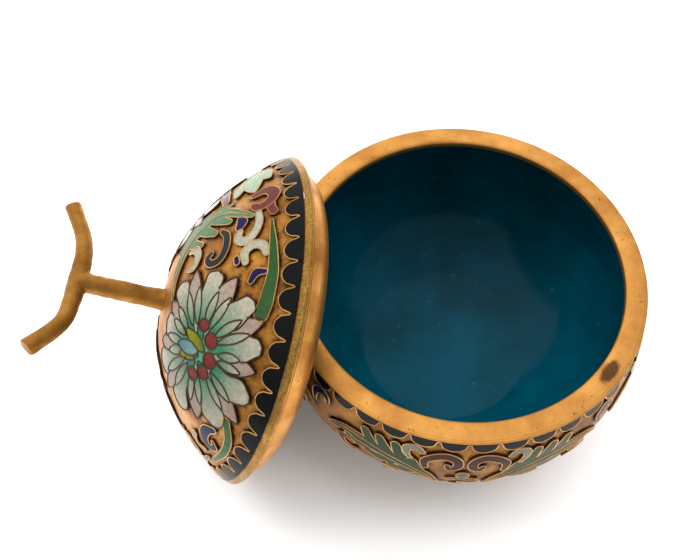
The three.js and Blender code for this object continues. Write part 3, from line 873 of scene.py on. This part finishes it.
# %% The lid's curled strokes
CURLS = {
    "white": ("#B9C0B4", "white_enamel", [
        ([(2.8, 31.2), (0.9, 30.6), (0.2, 28.8), (1.4, 27.1), (3.6, 27.2)], [0.55, 0.85, 0.9, 0.85, 0.6]),
        ([(-7.7, 28.5), (-5.2, 29.2), (-2.6, 28.7), (-1.1, 27.0), (-2.0, 25.4), (-3.6, 25.6)],
         [0.6, 0.8, 0.9, 0.85, 0.6]),
        ([(-3.7, 13.3), (-3.5, 15.0), (-1.7, 16.1), (0.2, 15.2), (0.4, 13.6)], [0.5, 0.8, 0.8, 0.8, 0.45])]),
    "cobalt": ("#1C1E5E", "black_enamel", [
        ([(6.5, 30.9), (6.3, 29.2), (7.7, 27.9)], [0.5, 0.85, 0.55]),
        ([(-7.1, 25.0), (-5.9, 25.5), (-4.8, 25.3)], [0.8, 1.2, 0.9]),
        ([(2.2, 25.4), (3.1, 25.5)], [0.55, 0.6])]),
    "slate": ("#2C3438", "black_enamel", [
        ([(-5.2, 21.3), (-3.7, 22.7), (-1.0, 22.9), (1.2, 21.7), (1.4, 19.7), (0.1, 18.8), (-0.8, 19.7)],
         [0.5, 0.75, 0.8, 0.8, 0.75, 0.7, 0.5])]),
    "dull_red": ("#74393C", "red_enamel", [
        ([(-13.2, 26.0), (-14.1, 28.4), (-12.4, 30.4), (-10.0, 30.0), (-9.0, 28.2), (-9.8, 27.0)],
         [0.9, 1.2, 1.2, 1.1, 1.0, 0.7]),
        ([(-9.6, 30.4), (-8.2, 31.0), (-6.9, 31.8)], [0.9, 0.8, 0.8]),
        ([(-13.9, 18.6), (-17.4, 16.1), (-20.8, 13.4)], [0.7, 1.1, 0.9])]),
}
LOW_CURLS = {   # beside the first flower only
    "cobalt": [([(29.2, 5.6), (28.2, 3.4), (28.6, 0.8), (30.4, -0.4), (31.6, 1.0), (30.6, 2.2)],
                [0.6, 1.1, 1.15, 0.9, 0.7, 0.45])],
    "white": [([(26.8, -2.4), (27.2, -4.4), (28.8, -5.2), (30.4, -3.8)], [0.55, 0.8, 0.75, 0.5])],
}
ROOM = {1: 180, 2: 114, 3: 96}   # degrees round from each flower's own x axis left free for its strokes


def fits(shape, room):
    """Whether all of a stroke lies in the free part round a flower."""
    points, _ = shape
    return max(math.degrees(math.atan2(y, x)) for x, y in points) < room


for name, (tone, slot, shapes) in CURLS.items():
    for number, turn in enumerate(FLOWER_TURNS, 1):
        picked = [shape for shape in shapes if fits(shape, ROOM[number])]
        if number == 1:
            picked += LOW_CURLS.get(name, [])
        if picked:
            cells = [(stroke(points, widths), tone) for points, widths in picked]
            motif(f"lid_{name}_curls_{number}", cells, on_lid(turn), slot, LID_WIRES, spacing=0.7)

# %% [markdown]
# ## The bowl's wall
# The bowl's pattern repeats four times. In the middle of each repeat two dull-red scrolls face each
# other; a green acanthus leaf sweeps away on each side, and a cobalt scroll marks the join. Low on
# the wall sits a small flower. One half is drawn and mirrored, as a maker would trace it.

# %% Outlines of the bowl's motifs
FRONT, REPEATS = -93.1, 4
wall_leaf = stroke([(4.6, -16.6), (6.8, -13.6), (10.4, -11.3), (14.8, -9.8), (19.2, -8.7), (23.4, -8.6),
                    (26.8, -10.4)], [0.5, 1.3, 1.7, 1.7, 1.5, 1.1, 0.5])
fingers = [stroke([(7.4, -13.4), (8.8, -10.8), (9.7, -8.4)], [1.2, 1.15, 0.9]),
           stroke([(10.2, -11.4), (12.0, -7.8), (13.2, -4.9)], [1.5, 1.25, 0.95]),
           stroke([(13.6, -10.0), (15.2, -7.2), (16.4, -4.8)], [1.5, 1.2, 0.9]),
           stroke([(16.8, -9.2), (18.2, -6.9), (19.4, -4.7)], [1.4, 1.15, 0.9]),
           stroke([(8.4, -12.4), (10.8, -13.8), (13.4, -13.6)], [1.3, 1.4, 0.8]),
           stroke([(12.2, -10.9), (15.0, -12.2), (18.2, -11.8)], [1.4, 1.4, 0.8]),
           stroke([(17.0, -9.4), (20.0, -10.7), (22.8, -10.4)], [1.2, 1.1, 0.7])]
low_vein = spline([(5.4, -16.2), (8.2, -13.6), (12.2, -11.7), (17.4, -10.5), (22.0, -10.2)])
vein = spline([(4.9, -15.9), (7.0, -13.2), (10.4, -10.9), (14.8, -9.4), (19.2, -8.4), (23.4, -8.4),
               (26.2, -9.9)])
red_scroll = stroke([(7.2, -9.7), (7.4, -7.2), (5.6, -5.3), (3.4, -4.7), (1.6, -5.9), (1.4, -8.0),
                     (2.7, -9.0), (3.3, -7.9)], [0.6, 0.85, 0.95, 1.0, 0.95, 0.9, 0.7, 0.5])
pale_comma = stroke([(8, -4.7), (9.3, -3.6), (11, -4.3), (11, -6.3), (9.9, -7.6)], [0.5, 0.75, 0.8, 0.7, 0.3])
pink_curl = stroke([(21.4, -12.6), (23, -11.9), (24.2, -12.9), (23.6, -15.1), (21.6, -15.8), (20.6, -15.0)],
                   [0.5, 0.8, 0.8, 0.8, 0.7, 0.4])
white_bit = stroke([(14.4, -15.6), (13.0, -16.6), (12.9, -18.2), (14.4, -18.9)], [0.45, 0.75, 0.75, 0.45])
cobalt_scroll = stroke([(-28.3, -5.3), (-28.9, -4.1), (-30.5, -3.7), (-31.8, -5.4), (-31.4, -8.2)],
                       [0.5, 0.75, 0.85, 0.8, 0.4])
grey_blob = blob((0, -11.8), 1.25, 1.4)
grey_arch = stroke([(-2.6, -14.2), (-1.6, -13.9), (0.0, -13.7), (1.6, -13.9), (2.6, -14.2)],
                   [0.4, 0.5, 0.55, 0.5, 0.4])
grey_stem = stroke([(0.0, -16.0), (0.0, -19.6)], [0.55, 0.3])
print("one repeat is", round(2 * math.pi * BULGE_R / REPEATS, 1), "mm wide")

# %% [markdown]
# ## Laying them round the bowl
# Each repeat is laid about its own azimuth. What is drawn on the right of its middle is mirrored to
# the left by turning the outline and its two shading points over.

# %% Leaves and scrolls of the bowl
LOW_HEART = np.array([0.0, -26.4])
LOW_PETALS, LOW_REACH = 8, 6.2


def mirrored(cell, side):
    """A cell's outline and its two shading points, on the left or the right of the repeat's middle."""
    return (np.asarray(cell[0]) * (side, 1), *cell[1:3], *(tuple(np.array(p) * (side, 1)) for p in cell[3:]))


low_flower = [(blob(LOW_HEART, 1.5), "#8C4038")]
for i in range(LOW_PETALS):
    a = 2 * math.pi * i / LOW_PETALS
    tip = LOW_HEART + 5.6 * np.array([math.cos(a), math.sin(a)])
    outline = petal(LOW_HEART, math.degrees(a), 1.0, LOW_REACH, 3.0)
    low_flower.append((outline, TURQUOISE, WHITE, LOW_HEART, tip))
wall_leaf_cells = [(line, "#3A5C35", "#2B4E2C", (26, -9), (5, -16)) for line in [wall_leaf, *fingers]]
grey_cells = [(grey_blob, "#66727A"), (grey_arch, "#23282C"), (grey_stem, "#7C827C")]
for repeat in range(REPEATS):
    place = on_bowl(FRONT + 360 / REPEATS * repeat)
    for side, letter in ((-1, "a"), (1, "b")):
        tag = f"{repeat + 1}{letter}"
        groups = (
            (f"bowl_leaf_{tag}_enamel", wall_leaf_cells, "green_enamel", (f"bowl_leaf_{tag}",)),
            (f"bowl_scroll_{tag}_enamel", [(red_scroll, "#4E150E")], "red_enamel", (f"bowl_scroll_{tag}",)),
            (f"bowl_commas_{tag}", [(pale_comma, "#9AA89C"), (white_bit, "#A9B3A8")], "white_enamel", ()),
            (f"bowl_pink_{tag}", [(pink_curl, "#6C343A")], "red_enamel", ()))
        for name, cells, slot, nodes in groups:
            cells = [mirrored(cell, side) for cell in cells]
            motif(name, cells, place, slot, BOWL_WIRES, *nodes, fused="leaf" in name)
        BOWL_WIRES += [(place(line * (side, 1), TOP), False) for line in (vein, low_vein)]
    motif(f"bowl_cobalt_{repeat + 1}_enamel", [(cobalt_scroll, "#16164E")], place, "cobalt_enamel",
          BOWL_WIRES, f"bowl_cobalt_{repeat + 1}")
    motif(f"bowl_low_flower_{repeat + 1}", low_flower, place, "white_enamel", BOWL_WIRES)
    motif(f"bowl_grey_{repeat + 1}", grey_cells, place, "black_enamel", BOWL_WIRES)

# %% [markdown]
# ## Copies round an axis
# A band of black half-rounds hangs from each rim. One scallop is drawn once, and Geometry Nodes turn
# copies of it round the axis. Copying along a straight line would drift off the surface, while a
# turn keeps every copy on it, because the surface itself was turned.

# %% A tree that turns copies of one cell round an axis
def new_tree(name, **inputs):
    """A Geometry Nodes tree with a geometry input and output and some more inputs, each given as
    its kind and its default; returns the tree and what comes in."""
    tree = bpy.data.node_groups.new(name, "GeometryNodeTree")
    tree.interface.new_socket(name="Geometry", in_out="OUTPUT", socket_type="NodeSocketGeometry")
    tree.interface.new_socket(name="Geometry", in_out="INPUT", socket_type="NodeSocketGeometry")
    for label, (kind, value) in inputs.items():
        made = tree.interface.new_socket(name=label, in_out="INPUT", socket_type=f"NodeSocket{kind}")
        if value is not None:
            made.default_value = value
    return tree, tree.nodes.new("NodeGroupInput").outputs


def turning_tree(look):
    tree, given = new_tree("turned_copies", Copies=("Int", 40), Lean=("Rotation", None),
                           Centre=("Vector", None))
    points = add(tree, "GeometryNodePoints", Count=given["Copies"])
    index = add(tree, "GeometryNodeInputIndex")
    step = add(tree, MATH, {"operation": "DIVIDE"}, _0=2 * math.pi, _1=given["Copies"])
    angle = add(tree, MATH, TIMES, _0=index, _1=step)
    euler = add(tree, "ShaderNodeCombineXYZ", Z=angle)
    spin = add(tree, "FunctionNodeEulerToRotation", Euler=euler)
    copies = add(tree, "GeometryNodeInstanceOnPoints", Points=points, Instance=given["Geometry"],
                 Rotation=spin)
    leaning = add(tree, "GeometryNodeTransform", Geometry=copies, Translation=given["Centre"],
                  Rotation=given["Lean"])
    real = add(tree, "GeometryNodeRealizeInstances", Geometry=leaning)
    done = add(tree, "GeometryNodeSetMaterial", Geometry=real, Material=look)
    feed(tree, tree.nodes.new("NodeGroupOutput"), Geometry=done)
    return tree


def grow(made, tree, **inputs):
    """Runs a tree on an object and keeps the result as a plain mesh."""
    modifier = made.modifiers.new("nodes", "NODES")
    modifier.node_group = tree
    for item in tree.interface.items_tree:
        if item.in_out == "INPUT" and item.name in inputs:
            modifier[item.identifier] = inputs[item.name]
    made.update_tag()
    evaluated = made.evaluated_get(bpy.context.evaluated_depsgraph_get())
    mesh = bpy.data.meshes.new_from_object(evaluated)
    made.modifiers.clear()
    made.data = mesh


turner = turning_tree(glaze)


def ring_of_cells(name, outline, tone, local, copies, slot, *nodes, lean=(0, 0, 0), centre=BOWL):
    """One cell, drawn in its surface's own frame, repeated all round the axis."""
    made = island_mesh(name, [(outline, tone)], [counter_clockwise(outline)], local, 1.2)
    grow(made, turner, Copies=copies, Lean=lean, Centre=Vector(centre * MM))
    settle(made, slot, *nodes)


print("turning tree has", len(turner.nodes), "nodes")

# %% [markdown]
# ## The scalloped borders
# Each border is a ring of black half-rounds, their flat sides against the gilt edge. A wire follows
# the scallops and meets itself in a cusp between every two.

# %% The two borders
HALF_ROUND_X = np.linspace(0, 1, 13)   # across one pitch
HALF_ROUND = np.sqrt(np.clip(1 - (2 * HALF_ROUND_X - 1) ** 2, 0, 1))   # how deep it is there, 0 to 1
LID_SCALLOPS, BOWL_SCALLOPS = 45, 42
LID_START = math.radians(0.9)
LID_DEEP, BOWL_DEEP = 2.45, 2.15   # mm


def ring_flat(angle, rho):
    """Flat points at angles and distances from the dome's top."""
    return np.c_[rho * np.cos(angle), rho * np.sin(angle)]


def lid_scallop(i):
    """The i-th half-round below the lid's edge."""
    angle = LID_START + 2 * math.pi / LID_SCALLOPS * (i + 0.035 + 0.93 * HALF_ROUND_X)
    return ring_flat(angle, ENAMEL_END - 1.0 - LID_DEEP * HALF_ROUND)


lid_pitch = 2 * math.pi / LID_SCALLOPS
lid_edge_line = ring_flat(LID_START + lid_pitch * HALF_ROUND_X, np.full(len(HALF_ROUND), ENAMEL_END - 0.05))
lean = Matrix((Vector(lid_right), Vector(lid_up), Vector(lid_axis))).transposed().to_euler()
ring_of_cells("lid_scallop_border", np.vstack([lid_edge_line, lid_scallop(0)[::-1]]), "#121517", lid_local,
              LID_SCALLOPS, "black_enamel", "lid_border", lean=lean, centre=LID_CENTRE)
for i in range(LID_SCALLOPS):
    cusps = [ring_flat(np.array([LID_START + lid_pitch * j]), ENAMEL_END - 0.8) for j in (i, i + 1)]
    LID_WIRES.append((on_lid()(np.vstack([cusps[0], lid_scallop(i), cusps[1]]), WIRE_Z), False))

bowl_pitch = 2 * math.pi * BULGE_R / BOWL_SCALLOPS
bowl_start = math.radians(FRONT) * BULGE_R


def bowl_scallop(i, edge):
    """The i-th half-round below a line so many mm under the shoulder."""
    return np.c_[bowl_start + bowl_pitch * (i + 0.05 + 0.9 * HALF_ROUND_X), -edge - BOWL_DEEP * HALF_ROUND]


bowl_edge_line = np.c_[bowl_start + bowl_pitch * HALF_ROUND_X, np.full(len(HALF_ROUND), -0.2)]
ring_of_cells("bowl_scallop_border", np.vstack([bowl_edge_line, bowl_scallop(0, 0.45)[::-1]]), "#0F1415",
              bowl_local, BOWL_SCALLOPS, "black_enamel", "bowl_border")
for i in range(BOWL_SCALLOPS):
    cusps = [[bowl_start + bowl_pitch * j, -0.4] for j in (i, i + 1)]
    line = np.vstack([cusps[0], bowl_scallop(i, 0.5), cusps[1]])
    BOWL_WIRES.append((BOWL + bowl_local(line, WIRE_Z), False))
print("scallops", LID_SCALLOPS, BOWL_SCALLOPS)

# %% [markdown]
# ## Lappets above the foot
# Low on the wall, where little is seen, a plain ring of blunt leaves stands on the foot. The same
# tree turns them.

# %% A plain ring of lappets
LAPPETS, LAPPET_HIGH = 28, 6.4
lappet_pitch = 2 * math.pi * BULGE_R / LAPPETS
low_line = wall.total - 1.2
across = np.linspace(0.06, 0.94, 15)
rise = np.sin(np.linspace(0, math.pi, 15)) ** 0.7
lappet = np.vstack([np.c_[lappet_pitch * across, -low_line + LAPPET_HIGH * rise],
                    [[lappet_pitch * 0.5, -low_line]]])
ring_of_cells("bowl_foot_lappets", lappet, "#2C5A4A", bowl_local, LAPPETS, "green_enamel")
for i in range(LAPPETS):
    line = np.c_[lappet_pitch * (i + across), -low_line + LAPPET_HIGH * rise]
    BOWL_WIRES.append((BOWL + bowl_local(line, WIRE_Z), False))
print("wires", len(FLOWER_WIRES), len(LID_WIRES), len(BOWL_WIRES))

# %% [markdown]
# ## The wires
# Cloisonne wire is flat strip set on its edge; after polishing only its narrow top shows, about a
# third of a millimetre wide. A round section half sunk in the glass gives the same bright line from
# every side, so a tree sweeps a small circle along every outline.

# %% A tree that sweeps wire along paths
WIRE, FLOWER_WIRE = 0.12, 0.17   # half the wires' widths


def wire_tree(look):
    tree, given = new_tree("swept_wire", Radius=("Float", WIRE * MM), Spacing=("Float", 0.4 * MM),
                           Sides=("Int", 6))
    path = add(tree, "GeometryNodeMeshToCurve", Mesh=given["Geometry"])
    even = add(tree, "GeometryNodeResampleCurve", {"mode": "LENGTH"}, Curve=path, Length=given["Spacing"])
    circle = add(tree, "GeometryNodeCurvePrimitiveCircle", Resolution=given["Sides"],
                 Radius=given["Radius"])
    swept = add(tree, "GeometryNodeCurveToMesh", Curve=even, Profile_Curve=circle, Fill_Caps=True)
    real = add(tree, "GeometryNodeRealizeInstances", Geometry=swept)
    smooth = add(tree, "GeometryNodeSetShadeSmooth", Geometry=real, Shade_Smooth=True)
    done = add(tree, "GeometryNodeSetMaterial", Geometry=smooth, Material=look)
    feed(tree, tree.nodes.new("NodeGroupOutput"), Geometry=done)
    return tree


def sweep(name, paths, tree, radius):
    """One piece of all the wires on some paths."""
    points, edges = [], []
    for line, is_closed in paths:
        line = line[:-1] if is_closed else line
        first = len(points)
        points += (line * MM).tolist()
        edges += [(first + i, first + i + 1) for i in range(len(line) - 1)]
        if is_closed:
            edges.append((first + len(line) - 1, first))
    mesh = bpy.data.meshes.new(name)
    mesh.from_pydata(points, edges, [])
    made = bpy.data.objects.new(name, mesh)
    bpy.context.scene.collection.objects.link(made)
    grow(made, tree, Radius=radius * MM)
    settle(made, "gilt")


gilt_sweeper = wire_tree(wire_gilt)
sweep("lid_flower_wires", FLOWER_WIRES, wire_tree(dark_wire), FLOWER_WIRE)
sweep("lid_wires", LID_WIRES, gilt_sweeper, WIRE)
sweep("bowl_wires", BOWL_WIRES, gilt_sweeper, WIRE)

# %% [markdown]
# ## Grime and painted shade beside the wires
# Polish and dust collect in the recessed ground right beside each raised motif, and the shade of
# that recess is painted there as well. Every point of the ground stores how near the closest wire
# is, and the gilding turns brown there. A shader can't measure that by itself, so an attribute carries it.

# %% Mark the ground with grime and painted shade
GRIME_SHADE_CLEAR, GRIME_SHADE_REACH = 0.45, 0.5   # mm to the wire's edge, and mm over which the grime and painted shade thin out


# stores how near each point of the ground lies to a wire, for its grime and painted shade
def mark_grime_and_shade(made, paths):
    every = np.vstack([line for line, _ in paths]) * MM
    tree = kdtree.KDTree(len(every))
    for i, p in enumerate(every):
        tree.insert(p, i)
    tree.balance()
    values = []
    for v in made.data.vertices:
        far = tree.find(v.co)[2] / MM
        values.append(math.exp(-max(far - GRIME_SHADE_CLEAR, 0) / GRIME_SHADE_REACH))
    made.data.attributes.new("grime_and_shade", "FLOAT", "POINT").data.foreach_set("value", values)
    print(made.name, "grime_and_shade", round(float(np.mean(values)), 3))


mark_grime_and_shade(shell, BOWL_WIRES)
mark_grime_and_shade(lid_shell, FLOWER_WIRES + LID_WIRES)
settle(shell, "copper_gilt", "bowl_body")
settle(lid_shell, "copper_gilt", "lid_body")

# %% [markdown]
# ## The stem
# The handle is a straight stalk with a bowed twig soldered across its end, cast or forged rather
# than turned. Two swept rods are fused by a voxel remesh, which fills the joint as solder does, and
# the skin is then roughened.

# %% Stalk and twig
VOXEL = 0.24     # mm
ROD_SIDES = 28


def rod(path, radii):
    """A closed rod in the lid's own frame, along (across, above the dome's top) points in mm."""
    line = spline([(across, 0.0, LID_RISE + above) for across, above in path], 12)
    t = np.gradient(line, axis=0)
    t /= np.linalg.norm(t, axis=1)[:, None]
    half = np.interp(np.linspace(0, 1, len(line)), np.linspace(0, 1, len(radii)), radii)
    sides = ROD_SIDES
    side = np.array([0, 1.0, 0])
    points, faces = [], []
    for c, d, r in zip(line, t, half):
        a = np.cross(d, side)
        a /= np.linalg.norm(a)
        b = np.cross(d, a)
        for k in range(sides):
            q = 2 * math.pi * k / sides
            points.append(c + r * (a * math.cos(q) + b * math.sin(q)))
    n = len(line)
    for i in range(n - 1):
        for k in range(sides):
            m = (k + 1) % sides
            faces.append((i * sides + k, i * sides + m, (i + 1) * sides + m, (i + 1) * sides + k))
    faces.append(tuple(range(sides))[::-1])
    faces.append(tuple((n - 1) * sides + k for k in range(sides)))
    return points, faces


stalk = rod([(0, -0.3), (0, 0.6), (-0.1, 4), (-0.3, 8), (-0.45, 12), (-0.6, 16)],
            [2.5, 2.1, 1.95, 2.0, 1.9, 1.95])
twig = rod([(-16.9, 19.7), (-13.5, 18.0), (-10, 16.5), (-6, 15.8), (-1, 15.9), (3.9, 16.3), (7.6, 16.9),
            (10.6, 18.8), (14.1, 21.9)], [1.6, 1.5, 1.55, 1.65, 1.85, 1.65, 1.6, 1.6, 1.7])
points, faces = [], []
for rod_points, rod_faces in (stalk, twig):
    faces += [tuple(i + len(points) for i in face) for face in rod_faces]
    points += rod_points
stem = finish_mesh(mesh_object("gilt_stem", in_lid(np.array(points)), faces, stem_gilt))
remesh = stem.modifiers.new("solder", "REMESH")
remesh.mode = "VOXEL"
remesh.voxel_size = VOXEL * MM
soften = stem.modifiers.new("soften", "SMOOTH")
soften.iterations = 3
soften.factor = 0.5
evaluated = stem.evaluated_get(bpy.context.evaluated_depsgraph_get())
solid = bpy.data.meshes.new_from_object(evaluated)
stem.modifiers.clear()
stem.data = solid
print("fused stem", len(solid.vertices), "points")

# %% [markdown]
# ## The stem's skin
# A cast skin is never quite even. Each point moves along its normal by a coarse and a fine noise of
# its place, under a tenth of a millimetre, which gives the same skin on every run.

# %% Roughen the stem
COARSE, FINE = 900, 2300   # noise cells in a metre
for v, n in [(v, v.normal.copy()) for v in solid.vertices]:
    rough = blender_noise.noise(v.co * COARSE) * 0.07 + blender_noise.noise(v.co * FINE) * 0.03
    v.co += n * rough * MM
for polygon in solid.polygons:
    polygon.use_smooth = True
settle(stem, "stem_gilt", "stem")
